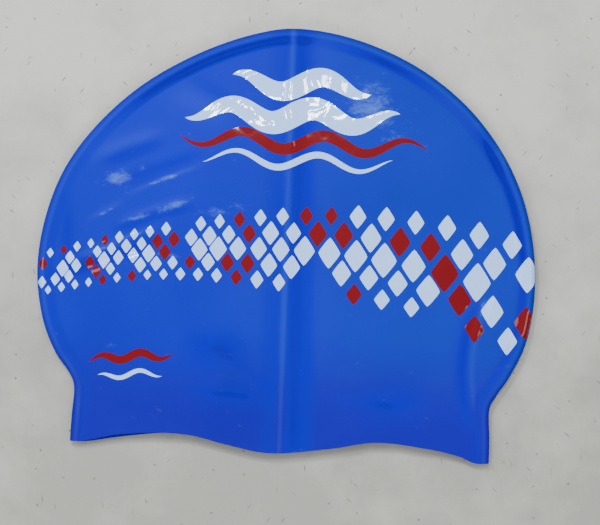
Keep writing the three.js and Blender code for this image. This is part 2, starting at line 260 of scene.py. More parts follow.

# Painted light along the storage crease: a painted highlight as a pale line on its ridge, between
# stripes of painted shade in deeper blue. Each row is a line down the cap where the depth of the blue
# changes. crown and mouth say where it starts and ends, as shares of WIDTH from the middle. At depth 1
# the blue is the deep painted shade, and below zero it is the pale painted highlight.
CREASE_PAINTED_LIGHT = [
    {"crown": -0.07, "mouth": -0.05, "depth": 0.0},
    {"crown": -0.035, "mouth": -0.018, "depth": 0.6},
    {"crown": -0.0205, "mouth": -0.003, "depth": 0.5},
    {"crown": -0.0155, "mouth": 0.003, "depth": -0.75},
    {"crown": -0.0105, "mouth": 0.008, "depth": -0.75},
    {"crown": -0.004, "mouth": 0.016, "depth": 0.9},
    {"crown": 0.02, "mouth": 0.06, "depth": 0.85},
    {"crown": 0.045, "mouth": 0.088, "depth": 0.0},
]

# Painted shade also makes the blue deeper in the groove and in valleys, and painted highlights make it
# paler on ridges and along the crest of the roll. A ridge of the full lift is paler by one, and a valley
# is deeper by a little more at most. The storage crease's own folds are left to its stripe.
GROOVE_PAINTED_SHADE = 1.6
CREST_PAINTED_HIGHLIGHT = 1.0
CREST_INSET = 2.6 * MM
CREST_REACH = 0.7 * MM
FULL_LIFT = 0.5 * MM
DEEPEST_VALLEY = -1.15
SHADED_FOLDS = [fold for fold in FOLDS if not fold["name"].startswith("storage")]

# How finely the skins are divided. Rings run round the roll and over the groove, and the panel inside
# them has columns across the cap and rows from the mouth to the crown.
COLUMNS = 160
ROWS = 140
ROLL_RINGS = 6
GROOVE_RINGS = 5

# The panel's top row meets the rings between these shares of the edge's length.
CROWN_START = ROWS / (2 * ROWS + COLUMNS)
CROWN_END = 1 - CROWN_START

# Even steps along the edge, and how many times finer the curve is walked to find them.
EDGE_SAMPLES = 1500
FINER = 4

# The share of the edge's length, from each corner, over which the way in turns away from level.
LEVELLING = 0.08

# Points of the mesh that lie closer than this are one, and points lower than the limit rest flat.
WELD = 0.02 * MM
FLAT_LIMIT = 0.001 * MM


# Curves and tables

def clamp(value, low=0.0, high=1.0):
    return max(low, min(high, value))


def lerp(a, b, share):
    return a + (b - a) * share


def smoothstep(value, low, high):
    share = clamp((value - low) / (high - low))
    return share * share * (3 - 2 * share)


def read_table(rows, key, column, at):
    """One column of a table, read along a smooth curve that is level at both ends."""
    last = len(rows) - 1
    at = clamp(at, rows[0][key], rows[last][key])
    i = next(i for i in range(last) if at <= rows[i + 1][key])

    def slope(j):
        if j in (0, last):
            return 0.0
        return (rows[j + 1][column] - rows[j - 1][column]) / (rows[j + 1][key] - rows[j - 1][key])

    gap = rows[i + 1][key] - rows[i][key]
    step = rows[i + 1][column] - rows[i][column]
    leaving, arriving = slope(i) * gap, slope(i + 1) * gap
    t = (at - rows[i][key]) / gap
    bend = 3 * step - 2 * leaving - arriving + t * (leaving + arriving - 2 * step)
    return rows[i][column] + t * (leaving + t * bend)


def spline_point(points, share):
    """A point of the smooth line through the given ones."""
    place = clamp(share) * (len(points) - 1)
    i = min(int(place), len(points) - 2)
    t = place - i
    a, b, c, d = (points[clamp(j, 0, len(points) - 1)] for j in (i - 1, i, i + 1, i + 2))
    pull, follow = (c - a) / 2, (d - b) / 2
    return ((2 * b - 2 * c + pull + follow) * t**3 + (3 * c - 3 * b - 2 * pull - follow) * t**2
            + pull * t + b)


def edge_points():
    """The rolled edge seen from above, from the mouth's left corner over the crown to the right."""
    left = [Vector((-row["left"] * WIDTH / 2, row["up"] * HEIGHT)) for row in OUTLINE]
    right = [Vector((row["right"] * WIDTH / 2, row["up"] * HEIGHT)) for row in OUTLINE]
    return left + right[-2::-1]


def even_line(points, count):
    """count + 1 points at even steps along the smooth line through the given ones."""
    fine = [spline_point(points, i / (FINER * count)) for i in range(FINER * count + 1)]
    lengths = [0.0]
    for a, b in zip(fine, fine[1:]):
        lengths.append(lengths[-1] + (b - a).length)
    line, j = [], 0
    for i in range(count + 1):
        wanted = lengths[-1] * i / count
        while j < len(fine) - 2 and lengths[j + 1] < wanted:
            j += 1
        share = (wanted - lengths[j]) / (lengths[j + 1] - lengths[j])
        line.append(fine[j].lerp(fine[j + 1], share))
    return line


EDGE = even_line(edge_points(), EDGE_SAMPLES)
NEAREST = KDTree(len(EDGE))
for number, point in enumerate(EDGE):
    NEAREST.insert(point.to_3d(), number)
NEAREST.balance()


def edge_at(along):
    """The edge's point at a share of its length."""
    place = clamp(along) * EDGE_SAMPLES
    i = min(int(place), EDGE_SAMPLES - 1)
    return EDGE[i].lerp(EDGE[i + 1], place - i)


def way_in(along):
    """The way in from the edge, level at the mouth so that the mouth's line stays even."""
    step = 1 / EDGE_SAMPLES
    tangent = edge_at(along + step) - edge_at(along - step)
    turn = smoothstep(min(along, 1 - along), 0, LEVELLING)
    return Vector((tangent.y, -tangent.x * turn)).normalized()


def inset_point(along, inset):
    """The place in the plan that lies in from the edge's point."""
    return edge_at(along) + way_in(along) * inset


# The upper and lower skin

def fold_lift(fold, x, y):
    """The height of one fold at a place: a bell across it, and a parabola for its bow."""
    start = Vector((fold["start"][0] * WIDTH, fold["start"][1] * HEIGHT))
    run = Vector((fold["end"][0] * WIDTH, fold["end"][1] * HEIGHT)) - start
    offset = Vector((x, y)) - start
    along = clamp(offset.dot(run) / run.length_squared)
    aside = (offset.x * run.y - offset.y * run.x) / run.length
    aside += fold["bow"] * WIDTH * 4 * along * (1 - along)
    share = aside / (fold["reach"] * WIDTH)
    if abs(share) > FOLD_TAIL:
        return 0.0
    ends = smoothstep(along, 0, fold["fade"]) * smoothstep(1 - along, 0, fold["fade"])
    return fold["lift"] * ends * math.exp(-share * share)


def roll_share(inset):
    """The share of its full height that the skin has at an inset: a quarter circle, then flat."""
    short = 1 - clamp(inset / ROLL_RADIUS)
    return math.sqrt(1 - short * short)


def groove_dip(along, inset):
    off = clamp((inset - GROOVE_INSET) / GROOVE_HALF_WIDTH, -1, 1)
    return GROOVE_DEPTH * read_table(GROOVE, "along", "depth", along) * (1 - off * off) ** 2


def upper_height(x, y, along, inset):
    """The upper skin stands on the roll, rises to the middle and carries the folds and the groove."""
    rise = PANEL_RISE * smoothstep(inset, GROOVE_INSET, GROOVE_INSET + PANEL_RISE_REACH)
    drop = MOUTH_DROP * (1 - smoothstep(y, 0, MOUTH_DROP_REACH))
    folds = sum(fold_lift(fold, x, y) for fold in FOLDS)
    calm = smoothstep(inset, ROLL_RADIUS, GROOVE_INSET + PANEL_RISE_REACH)
    waves = WAVE_LIFT * calm * noise.noise(Vector((x, y, 0)) / WAVE_LENGTH)
    height = ROLL_RADIUS + rise - drop + folds + waves - groove_dip(along, inset)
    return ROLL_RADIUS + height * roll_share(inset)


def lower_height(x, y, along, inset):
    """The lower skin turns down round the roll and rests flat on the floor."""
    return ROLL_RADIUS * (1 - roll_share(inset))


def wave_shift(x, y, peeks):
    """How far the mouth's arches pull a place of the cap up or down."""
    corner = -EDGE[0].x if x < 0 else EDGE[-1].x
    across = x / corner
    rise = MOUTH_WAVE * read_table(MOUTH, "across", "rise", across)
    peek = LIP_PEEK * read_table(MOUTH, "across", "peek", across) if peeks else 0
    return (rise - peek) * (1 - smoothstep(y, 0, MOUTH_WAVE_REACH))


def place_on(height_of, x, y, along, inset, peeks=False, proud=0.0):
    """The point of a skin over a place in the plan."""
    z = height_of(x, y, along, inset) + proud
    return Vector((x, y + wave_shift(x, y, peeks) + MOUTH_Y, z))


def panel_place(x, y):
    """How far along the edge its nearest point lies, and how far in the place is."""
    _, number, distance = NEAREST.find(Vector((x, y, 0)))
    return number / EDGE_SAMPLES, distance


def span_panel(u, v):
    """A place inside the rings, spanned between the mouth and the innermost ring."""
    left = inset_point(v * CROWN_START, RING_BAND)
    right = inset_point(1 - v * CROWN_START, RING_BAND)
    crown = inset_point(lerp(CROWN_START, CROWN_END, u), RING_BAND)
    low_left, low_right = inset_point(0, RING_BAND), inset_point(1, RING_BAND)
    high_left, high_right = inset_point(CROWN_START, RING_BAND), inset_point(CROWN_END, RING_BAND)
    mouth = low_left.lerp(low_right, u)
    shared = mouth.lerp(high_left.lerp(high_right, u), v)
    return left.lerp(right, u) + mouth.lerp(crown, v) - shared


def ring_inset(share):
    """The rings lie close together round the roll and evenly over the groove."""
    ring = share * (ROLL_RINGS + GROOVE_RINGS)
    if ring < ROLL_RINGS:
        return ROLL_RADIUS * (1 - math.cos(ring / ROLL_RINGS * math.pi / 2))
    return lerp(ROLL_RADIUS, RING_BAND, (ring - ROLL_RINGS) / GROOVE_RINGS)


def add_grid(bm, columns, rows, place):
    """A grid whose points are moved to where place says, from their shares across and up."""
    made = bmesh.ops.create_grid(bm, x_segments=columns, y_segments=rows, size=0.5)
    for vert in made["verts"]:
        vert.co = place(vert.co.x + 0.5, vert.co.y + 0.5)


def add_skin(bm, height_of, peeks):
    """One skin: the rings from the edge inwards, and the panel inside them."""
    def ring_place(u, v):
        inset = ring_inset(v)
        x, y = inset_point(u, inset)
        return place_on(height_of, x, y, u, inset, peeks and inset > 0)

    def panel_point(u, v):
        x, y = span_panel(u, v)
        along, inset = panel_place(x, y)
        return place_on(height_of, x, y, along, inset, peeks)

    add_grid(bm, 2 * ROWS + COLUMNS, ROLL_RINGS + GROOVE_RINGS, ring_place)
    add_grid(bm, COLUMNS, ROWS, panel_point)


def spot_at(spots, x, y):
    """How strong the strongest of some soft oval spots is at a place in the plan."""
    strongest = 0.0
    for row in spots:
        offset = Vector((x / WIDTH - row["x"], (y - row["y"] * HEIGHT) / WIDTH))
        turn = math.radians(row["turn"])
        along = (offset.x * math.cos(turn) + offset.y * math.sin(turn)) / row["length"]
        aside = (offset.y * math.cos(turn) - offset.x * math.sin(turn)) / row["width"]
        strongest = max(strongest, row["strength"] * math.exp(-along * along - aside * aside))
    return strongest


def painted_light_at(x, y):
    """How deep the blue is at a place, as painted light: painted shade makes it deeper by the storage
    crease, in the groove and in valleys, and painted highlights make it paler, below zero, on ridges,
    on the crease's ridge and along the crest of the roll."""
    lines = [{"x": lerp(row["mouth"], row["crown"], y / HEIGHT), "depth": row["depth"]} for row in CREASE_PAINTED_LIGHT]
    along, inset = panel_place(x, y)
    off = clamp((inset - GROOVE_INSET) / GROOVE_HALF_WIDTH, -1, 1)
    groove = GROOVE_PAINTED_SHADE * read_table(GROOVE, "along", "depth", along) * (1 - off * off)
    lift = sum(fold_lift(fold, x, y) for fold in SHADED_FOLDS)
    crest = CREST_PAINTED_HIGHLIGHT * math.exp(-((inset - CREST_INSET) / CREST_REACH) ** 2)
    stripe = read_table(lines, "x", "depth", x / WIDTH)
    return stripe + groove - clamp(lift / FULL_LIFT, DEEPEST_VALLEY, 1) - crest


def add_attribute(obj, name, value_at):
    """Keeps on each point of a mesh what value_at says of its place in the plan."""
    values = [value_at(vert.co.x, vert.co.y - MOUTH_Y) for vert in obj.data.vertices]
    obj.data.attributes.new(name, "FLOAT", "POINT").data.foreach_set("value", values)


def make_object(name, bm, material):
    """A piece with smooth faces and one material. It stays at the origin, and its mesh has its place."""
    mesh = bpy.data.meshes.new(name)
    bm.to_mesh(mesh)
    bm.free()
    for face in mesh.polygons:
        face.use_smooth = True
    obj = bpy.data.objects.new(name, mesh)
    obj.data.materials.append(material)
    bpy.context.scene.collection.objects.link(obj)
    return obj


def join_flat_faces(bm):
    """The lower skin rests flat, so behind its lip one face takes the place of the grid."""
    def rests_flat(vert):
        return vert.co.z < FLAT_LIMIT and vert.co.y - MOUTH_Y > MOUTH_WAVE + LIP_BAND

    flat = [face for face in bm.faces if all(rests_flat(vert) for vert in face.verts)]
    bmesh.ops.dissolve_faces(bm, faces=flat, use_verts=False)


def make_shell(material):
    """The whole cap: two skins that share the rolled edge, with a wall behind them."""
    bm = bmesh.new()
    add_skin(bm, upper_height, False)
    add_skin(bm, lower_height, True)
    bmesh.ops.remove_doubles(bm, verts=bm.verts, dist=WELD)
    bmesh.ops.recalc_face_normals(bm, faces=bm.faces)
    join_flat_faces(bm)
    shell = make_object("silicone_shell", bm, material)
    # This attribute carries the painted haze, a painted reflection of the lamps.
    add_attribute(shell, "haze_spots", functools.partial(spot_at, PAINTED_HAZES))
    # This attribute carries the painted shade and painted highlights of the blue.
    add_attribute(shell, "depth", painted_light_at)
    lip = shell.vertex_groups.new(name="lip")
    for vert in shell.data.vertices:
        share = 1 - smoothstep(vert.co.y - MOUTH_Y, MOUTH_WAVE, MOUTH_WAVE + LIP_BAND)
        lip.add([vert.index], share, "REPLACE")
    wall = shell.modifiers.new("wall", "SOLIDIFY")
    wall.thickness = LIP_WALL
    wall.vertex_group = lip.name
    wall.thickness_vertex_group = WALL / LIP_WALL
    wall.offset = -1
    rounding = shell.modifiers.new("lip rounding", "BEVEL")
    rounding.width = LIP_ROUNDING
    rounding.segments = 2
    rounding.limit_method = "ANGLE"
    rounding.angle_limit = LIP_EDGE_TURN
    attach(shell, "root")
    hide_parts("cap_shell")


# The print

# Water waves at the crown and a small pair by the left ear. x and y are the middle and length is the
# half length, as shares of WIDTH, HEIGHT and WIDTH. thick is the ribbon's half width, swing how far
# it swings to each side and bend the length of one wave, in metres.
WAVES = [
    {"x": 0.01, "y": 0.865, "length": 0.14, "thick": 4.6 * MM, "swing": 3.6 * MM, "bend": 36 * MM,
     "ink": "white"},
    {"x": -0.005, "y": 0.79, "length": 0.215, "thick": 5.2 * MM, "swing": 3.6 * MM, "bend": 36 * MM,
     "ink": "white"},
    {"x": 0.02, "y": 0.728, "length": 0.25, "thick": 2.6 * MM, "swing": 3.4 * MM, "bend": 36 * MM,
     "ink": "red"},
    {"x": 0.01, "y": 0.684, "length": 0.19, "thick": 1.5 * MM, "swing": 3.2 * MM, "bend": 36 * MM,
     "ink": "white"},
    {"x": -0.3, "y": 0.19, "length": 0.085, "thick": 2.0 * MM, "swing": 1.6 * MM, "bend": 17 * MM,
     "ink": "red"},
    {"x": -0.3, "y": 0.145, "length": 0.065, "thick": 1.1 * MM, "swing": 1.5 * MM, "bend": 17 * MM,
     "ink": "white"},
]

# How bluntly a ribbon tapers to its two points, and about how long and wide its faces are.
WAVE_TAPER = 0.8
WAVE_FACE_LENGTH = 1.2 * MM
WAVE_FACE_WIDTH = 1.4 * MM

# The band of lozenges that runs from ear to ear in a low arch. At the ears its middle lies at a share
# of HEIGHT, and from there it rises by the arch. Scales grow from the smallest at the left to the
# largest at the right, and the pitches and the lozenge's own sizes are those of a scale of one.
BAND_SEED = 11
BAND_PITCH = 9.4 * MM
BAND_ROW_PITCH = 6.6 * MM
BAND_ROWS = 5
BAND_SIDES = 0.385
BAND_ARCH = 17 * MM
BAND_SMALLEST = 0.62
BAND_LARGEST = 1.62
LOZENGE_HALF_WIDTH = 4.0 * MM
LOZENGE_HALF_HEIGHT = 5.7 * MM
LOZENGE_CELLS = 6
TIP_ROUNDING = 0.07

# Shares of the lozenges: by how much their sizes vary, how many are red, how many are left out, and
# by how much those of the outer rows are smaller.
LOZENGE_JITTER = 0.12
RED_SHARE = 0.24
SKIP_SHARE = 0.08
OUTER_ROWS_THINNER = 0.42

# Points of the print that lie closer than this are one.
INK_WELD = 0.01 * MM


@functools.cache
def edge_reach(height):
    """How far the cap reaches to the left and to the right at a whole height in millimetres."""
    half = EDGE_SAMPLES // 2
    left = min(EDGE[:half], key=lambda p: abs(p.y - height * MM))
    right = min(EDGE[half:], key=lambda p: abs(p.y - height * MM))
    return left.x, right.x


def ink_point(x, y):
    """A point of the ink's outer face. Shapes that run over the edge end on the roll."""
    left, right = edge_reach(round(y / MM))
    x = clamp(x, left + EDGE_MARGIN, right - EDGE_MARGIN)
    along, inset = panel_place(x, y)
    return place_on(upper_height, x, y, along, inset, proud=INK_PROUD)


def add_wave(bm, wave):
    """A ribbon that swings like water and tapers to a point at both ends."""
    half = wave["length"] * WIDTH

    def place(u, v):
        s = lerp(-half, half, u)
        turn = 2 * math.pi * (s / wave["bend"])
        slope = wave["swing"] * 2 * math.pi / wave["bend"] * math.cos(turn)
        across = Vector((-slope, 1)).normalized()
        width = wave["thick"] * (1 - (2 * u - 1) ** 2) ** WAVE_TAPER
        middle = Vector((wave["x"] * WIDTH + s, wave["y"] * HEIGHT + wave["swing"] * math.sin(turn)))
        return ink_point(*(middle + across * width * (2 * v - 1)))

    columns = round(2 * half / WAVE_FACE_LENGTH)
    rows = max(2, round(2 * wave["thick"] / WAVE_FACE_WIDTH))
    add_grid(bm, columns, rows, place)


def add_lozenge(bm, x, y, size):
    """A lozenge that stands on one of its tips, all of them slightly rounded."""
    def place(u, v):
        a, b = 2 * u - 1, 2 * v - 1
        tip = 1 - TIP_ROUNDING * (a * b) ** 4
        dx = LOZENGE_HALF_WIDTH * size * tip * (a - b) / 2
        dy = LOZENGE_HALF_HEIGHT * size * tip * (a + b) / 2
        return ink_point(x + dx, y + dy)

    add_grid(bm, LOZENGE_CELLS, LOZENGE_CELLS, place)


def band_height(x):
    """The middle of the band over a place across the cap."""
    off = 2 * x / WIDTH
    return BAND_SIDES * HEIGHT + BAND_ARCH * (1 - off * off)


def band_scale(x):
    """How large the band's lozenges and their pitches are over a place across the cap."""
    return lerp(BAND_SMALLEST, BAND_LARGEST, smoothstep(x, -WIDTH / 2, WIDTH / 2))


def lozenges():
    """Where the band's lozenges lie, how large each is and which ink it has."""
    chance = random.Random(BAND_SEED)
    x = -WIDTH / 2
    while x < WIDTH / 2:
        pitch = BAND_PITCH * band_scale(x)
        for row in range(BAND_ROWS):
            from_middle = row - (BAND_ROWS - 1) / 2
            place = x + 0.5 * pitch * (row % 2)
            thin = 1 - OUTER_ROWS_THINNER * abs(from_middle) / (BAND_ROWS / 2)
            size = band_scale(place) * thin * (1 + LOZENGE_JITTER * chance.uniform(-1, 1))
            red = chance.random() < RED_SHARE
            skipped = chance.random() < SKIP_SHARE
            if not skipped:
                up = from_middle * BAND_ROW_PITCH * band_scale(place)
                yield place, band_height(place) + up, size, "red" if red else "white"
        x += pitch


def make_print(ink, material):
    """All that is printed in one ink, as a thin film on the upper skin."""
    bm = bmesh.new()
    for wave in WAVES:
        if wave["ink"] == ink:
            add_wave(bm, wave)
    for x, y, size, lozenge_ink in lozenges():
        left, right = edge_reach(round(y / MM))
        if lozenge_ink == ink and left < x < right:
            add_lozenge(bm, x, y, size)
    bmesh.ops.remove_doubles(bm, verts=bm.verts, dist=INK_WELD)
    # A film has no inside yet, so all its faces are turned up. Its rim stays a sharp edge.
    bmesh.ops.recalc_face_normals(bm, faces=bm.faces)
    looking_down = [face for face in bm.faces if face.normal.z < 0]
    bmesh.ops.reverse_faces(bm, faces=looking_down)
    for edge in bm.edges:
        edge.smooth = not edge.is_boundary
    film = make_object("ink_" + ink, bm, material)
    add_attribute(film, "creased", functools.partial(spot_at, CREASES))
    thickness = film.modifiers.new("film", "SOLIDIFY")
    thickness.thickness = INK_FILM
    thickness.offset = -1
    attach(film, "root")


# Materials

def linear(hex_colour):
    """An sRGB hex colour as linear values with full alpha."""
    channels = [int(hex_colour[i:i + 2], 16) / 255 for i in (1, 3, 5)]
    return [c / 12.92 if c <= 0.04045 else ((c + 0.055) / 1.055) ** 2.4 for c in channels] + [1.0]


def new_material(name):
    """A material without nodes yet, and its node tree."""
    material = bpy.data.materials.new(name)
    material.use_nodes = True
    material.node_tree.nodes.clear()
    return material, material.node_tree


def add(tree, kind, inputs, **settings):
    """Adds a node. An input that is given a socket is linked to it, and any other is set."""
    node = tree.nodes.new(kind)
    for name, value in settings.items():
        setattr(node, name, value)
    for name, value in inputs.items():
        if isinstance(value, bpy.types.NodeSocket):
            tree.links.new(value, node.inputs[name])
        else:
            node.inputs[name].default_value = value
    return node


# The Mix node's colour sockets go by number, because its float sockets have the same names.
MIX_FACTOR, MIX_A, MIX_B, MIX_RESULT = 0, 6, 7, 2

# The silicone's blues, with painted light in them: on the left and on the right a painted tint of the
# light, and by the mouth a painted shade; then the painted shade where it is deep, the painted
# highlight on ridges, and the pale painted haze of the lamps' reflections.
BLUE_AND_PAINTED_TINT_LEFT = "#0e19ab"
BLUE_AND_PAINTED_TINT_RIGHT = "#12299d"
BLUE_AND_PAINTED_SHADE_MOUTH = "#180598"
BLUE_PAINTED_SHADE = "#0a02a6"
BLUE_PAINTED_HIGHLIGHT = "#3558c4"
PAINTED_HAZE_BLUE = "#6d9be8"

# The left blue ends and the right one is full at these shares of WIDTH from the middle. The mouth's
# blue starts and is full at these shares of HEIGHT from the mouth.
LEFT_ENDS = -0.2
RIGHT_FULL = 0.3
MOUTH_STARTS = 0.3
MOUTH_FULL = 0.07

# The depth at which the painted highlight makes the blue palest, with the share of its pale blue that
# shows there, and the depth at which the painted shade makes it darkest, with the share of its
# brightness that is left there.
PALEST = -2.0
PAINTED_HIGHLIGHT_SHARE = 0.35
DARKEST = 1.3
DARKEST_SHADE = 0.72

# Sizes of what the eye sees in the silicone. Its mottling changes the blue by a share. The grain that
# the mould leaves is finer on a real cap, and as coarse here as it needs to be to show. The painted
# haze's specks are narrow across the folds.
MOTTLE = 60 * MM
MOTTLE_SHADE = 0.08
GRAIN = 0.7 * MM
GRAIN_DEPTH = 0.01 * MM
HAZE_GRAIN = 5 * MM
HAZE_SLIMNESS = 0.6
FOLD_TURN = math.radians(22)

# How ragged the painted haze's specks are, and between which sums of speck and haze it grows.
HAZE_CONTRAST = 3.0
HAZE_STARTS = 1.85
HAZE_FULL = 4.0

# Each ink's colour, and the one that it clouds into.
INKS = [
    {"ink": "white", "colour": "#a4c8ff", "cloud": "#9cc2fb"},
    {"ink": "red", "colour": "#6e020c", "cloud": "#66010a"},
]

# Sizes of the crinkles in the ink's gloss: broad dents, and ridges whose tops are rounded by a share.
DENT = 30 * MM
DENT_DEPTH = 1.5 * MM
CRINKLE = 13 * MM
CRINKLE_DEPTH = 1.3 * MM
CRINKLE_ROUNDING = 0.1

# The floor's colours: greyer towards the mouth and paler beyond the crown as a painted shade, and its marks.
FLOOR_GREY = "#8f918a"
FLOOR_PALE = "#b2b4ac"
FLOOR_MARK = "#4c4c46"

# Sizes of what the eye sees in the floor: how far to each side of the cap's middle its painted shade
# turns, then its clouds, specks and scratches. The slimness is a scratch's width as a share of its
# length, and turns are in degrees. Clouds change the colour by a share, and a share of the cells has no
# mark.
FLOOR_PAINTED_SHADE_REACH = 150 * MM
FLOOR_CLOUD = 45 * MM
SPECK_CELL = 13 * MM
SPECK_RADIUS = 0.6 * MM
SCRATCH_CELL = 50 * MM
SCRATCH_REACH = 1.9 * MM
SCRATCH_SLIMNESS = 0.14
SCRATCH_TURNS = (57, -38, 100)
CLOUDINESS = 0.55
SPECKS_LEFT_OUT = 0.45
SCRATCHES_LEFT_OUT = 0.6

# A mark is fully dark up to this share of its radius.
MARK_CORE = 0.4


def noise_bump(tree, place, size, depth, crease=None, **inputs):
    """A bump of smooth dents of one size, or of ridges where a share for their rounding is given.
    Any further input goes to the bump itself."""
    dents = add(tree, "ShaderNodeTexNoise", {"Vector": place, "Scale": 1 / size, "Detail": 1.0,
                                             "Roughness": 0.4, "Distortion": 0.5})
    height = dents.outputs["Fac"]
    if crease:
        turned = add(tree, "ShaderNodeMath", {0: 1.0, 1: height}, operation="SUBTRACT").outputs["Value"]
        height = add(tree, "ShaderNodeMath", {0: height, 1: turned, 2: crease},
                     operation="SMOOTH_MAX").outputs["Value"]
    bump = {"Height": height, "Distance": depth, "Strength": 1.0}
    return add(tree, "ShaderNodeBump", {**bump, **inputs}).outputs["Normal"]


def crinkled_normal(tree, place):
    """The crinkles in the creased places, which turn a lamp's reflection into a net of bright lines."""
    creased = add(tree, "ShaderNodeAttribute", {}, attribute_name="creased").outputs["Fac"]
    dents = noise_bump(tree, place, DENT, DENT_DEPTH, Strength=creased)
    return noise_bump(tree, place, CRINKLE, CRINKLE_DEPTH, CRINKLE_ROUNDING, Strength=creased, Normal=dents)


def blue_with_painted_light(tree, place):
    """The blue, with a painted tint and shade across the cap, and painted shade and highlights in folds."""
    axes = add(tree, "ShaderNodeSeparateXYZ", {"Vector": place})
    across = add(tree, "ShaderNodeMapRange",
                 {"Value": axes.outputs["X"], "From Min": LEFT_ENDS * WIDTH,
                  "From Max": RIGHT_FULL * WIDTH}, interpolation_type="SMOOTHSTEP")
    down = add(tree, "ShaderNodeMapRange",
               {"Value": axes.outputs["Y"], "From Min": MOUTH_Y + MOUTH_STARTS * HEIGHT,
                "From Max": MOUTH_Y + MOUTH_FULL * HEIGHT}, interpolation_type="SMOOTHSTEP")
    depth = add(tree, "ShaderNodeAttribute", {}, attribute_name="depth").outputs["Fac"]
    # Painted light: the left and right blues carry a painted tint, and the mouth's blue a painted shade.
    painted_tint = add(tree, "ShaderNodeMix", {MIX_FACTOR: across.outputs["Result"], MIX_A: linear(BLUE_AND_PAINTED_TINT_LEFT),
                                        MIX_B: linear(BLUE_AND_PAINTED_TINT_RIGHT)}, data_type="RGBA")
    low = add(tree, "ShaderNodeMix", {MIX_FACTOR: down.outputs["Result"], MIX_A: painted_tint.outputs[MIX_RESULT],
                                      MIX_B: linear(BLUE_AND_PAINTED_SHADE_MOUTH)}, data_type="RGBA")
    # Painted shade from the depth: deeper blue in the crease's stripes, the groove and the valleys.
    with_painted_shade = add(tree, "ShaderNodeMix", {MIX_FACTOR: depth, MIX_A: low.outputs[MIX_RESULT],
                                       MIX_B: linear(BLUE_PAINTED_SHADE)}, data_type="RGBA")
    # Painted highlights: below zero depth the blue turns paler, on ridges, the crease's ridge and the crest.
    thin = add(tree, "ShaderNodeMapRange", {"Value": depth, "From Min": 0.0, "From Max": PALEST,
                                            "To Max": PAINTED_HIGHLIGHT_SHARE})
    with_painted_highlight = add(tree, "ShaderNodeMix", {MIX_FACTOR: thin.outputs["Result"],
                                            MIX_A: with_painted_shade.outputs[MIX_RESULT],
                                            MIX_B: linear(BLUE_PAINTED_HIGHLIGHT)}, data_type="RGBA")
    cloud = add(tree, "ShaderNodeTexNoise", {"Vector": place, "Scale": 1 / MOTTLE, "Detail": 3})
    tint = add(tree, "ShaderNodeMapRange", {"Value": cloud.outputs["Fac"], "From Min": 0.3, "From Max": 0.7,
                                            "To Min": 1 - MOTTLE_SHADE, "To Max": 1 + MOTTLE_SHADE})
    # More painted shade: past depth one the blue is darkened, most in the groove.
    thick = add(tree, "ShaderNodeMapRange", {"Value": depth, "From Min": 1.0, "From Max": DARKEST,
                                             "To Min": 1.0, "To Max": DARKEST_SHADE})
    mottle_and_painted_shade = add(tree, "ShaderNodeMath", {0: tint.outputs["Result"], 1: thick.outputs["Result"]},
                operation="MULTIPLY")
    return add(tree, "ShaderNodeVectorMath", {0: with_painted_highlight.outputs[MIX_RESULT],
                                              "Scale": mottle_and_painted_shade.outputs["Value"]},
               operation="SCALE").outputs["Vector"]


def painted_haze_share(tree, place):
    """How much of the painted haze shows: ragged specks of painted reflection along folds, in its places."""
    haze_spots = add(tree, "ShaderNodeAttribute", {}, attribute_name="haze_spots")
    haze_place = add(tree, "ShaderNodeMapping", {"Vector": place, "Rotation": (0, 0, -FOLD_TURN),
                                             "Scale": (HAZE_SLIMNESS, 1, 1)})
    specks = add(tree, "ShaderNodeTexNoise", {"Vector": haze_place.outputs["Vector"], "Scale": 1 / HAZE_GRAIN,
                                              "Detail": 7, "Roughness": 0.85, "Distortion": 0.3})
    haze_level = add(tree, "ShaderNodeMath", {0: specks.outputs["Fac"], 1: HAZE_CONTRAST, 2: haze_spots.outputs["Fac"]},
               operation="MULTIPLY_ADD")
    return add(tree, "ShaderNodeMapRange", {"Value": haze_level.outputs["Value"], "From Min": HAZE_STARTS,
                                            "From Max": HAZE_FULL}).outputs["Result"]


def moulded_silicone():
    """Silicone rubber from a polished mould: a deep blue that comes from within, under a faint satin
    sheen, with painted light in its colour: a painted tint, shade and highlights, and a whitish
    painted haze of the lamps' reflections."""
    material, tree = new_material("moulded silicone")
    place = add(tree, "ShaderNodeTexCoord", {}).outputs["Object"]
    # Painted reflection: a pale painted haze is mixed into the blue.
    colour = add(tree, "ShaderNodeMix", {MIX_FACTOR: painted_haze_share(tree, place),
                                         MIX_A: blue_with_painted_light(tree, place),
                                         MIX_B: linear(PAINTED_HAZE_BLUE)}, data_type="RGBA")
    shader = add(tree, "ShaderNodeBsdfPrincipled",
                 {"Base Color": colour.outputs[MIX_RESULT], "Roughness": 0.4, "IOR": 1.42,
                  "Specular IOR Level": 0.015, "Normal": noise_bump(tree, place, GRAIN, GRAIN_DEPTH)})
    add(tree, "ShaderNodeOutputMaterial", {"Surface": shader.outputs["BSDF"]})
    return material


def silicone_ink(ink, colour, cloud):
    """Screen-printed silicone ink: an even, opaque film, glossier than the cap, that mirrors lamps as a
    bright net where it is creased."""
    material, tree = new_material(ink + " silicone ink")
    place = add(tree, "ShaderNodeTexCoord", {}).outputs["Object"]
    mottle = add(tree, "ShaderNodeTexNoise", {"Vector": place, "Scale": 1 / MOTTLE, "Detail": 3})
    colours = add(tree, "ShaderNodeMix", {MIX_FACTOR: mottle.outputs["Fac"], MIX_A: linear(colour),
                                          MIX_B: linear(cloud)}, data_type="RGBA")
    shader = add(tree, "ShaderNodeBsdfPrincipled",
                 {"Base Color": colours.outputs[MIX_RESULT], "Roughness": 0.5, "Specular IOR Level": 0.05,
                  "Coat Weight": 1.0, "Coat Roughness": 0.06, "Coat IOR": 1.42,
                  "Coat Normal": crinkled_normal(tree, place)})
    add(tree, "ShaderNodeOutputMaterial", {"Surface": shader.outputs["BSDF"]})
    return material


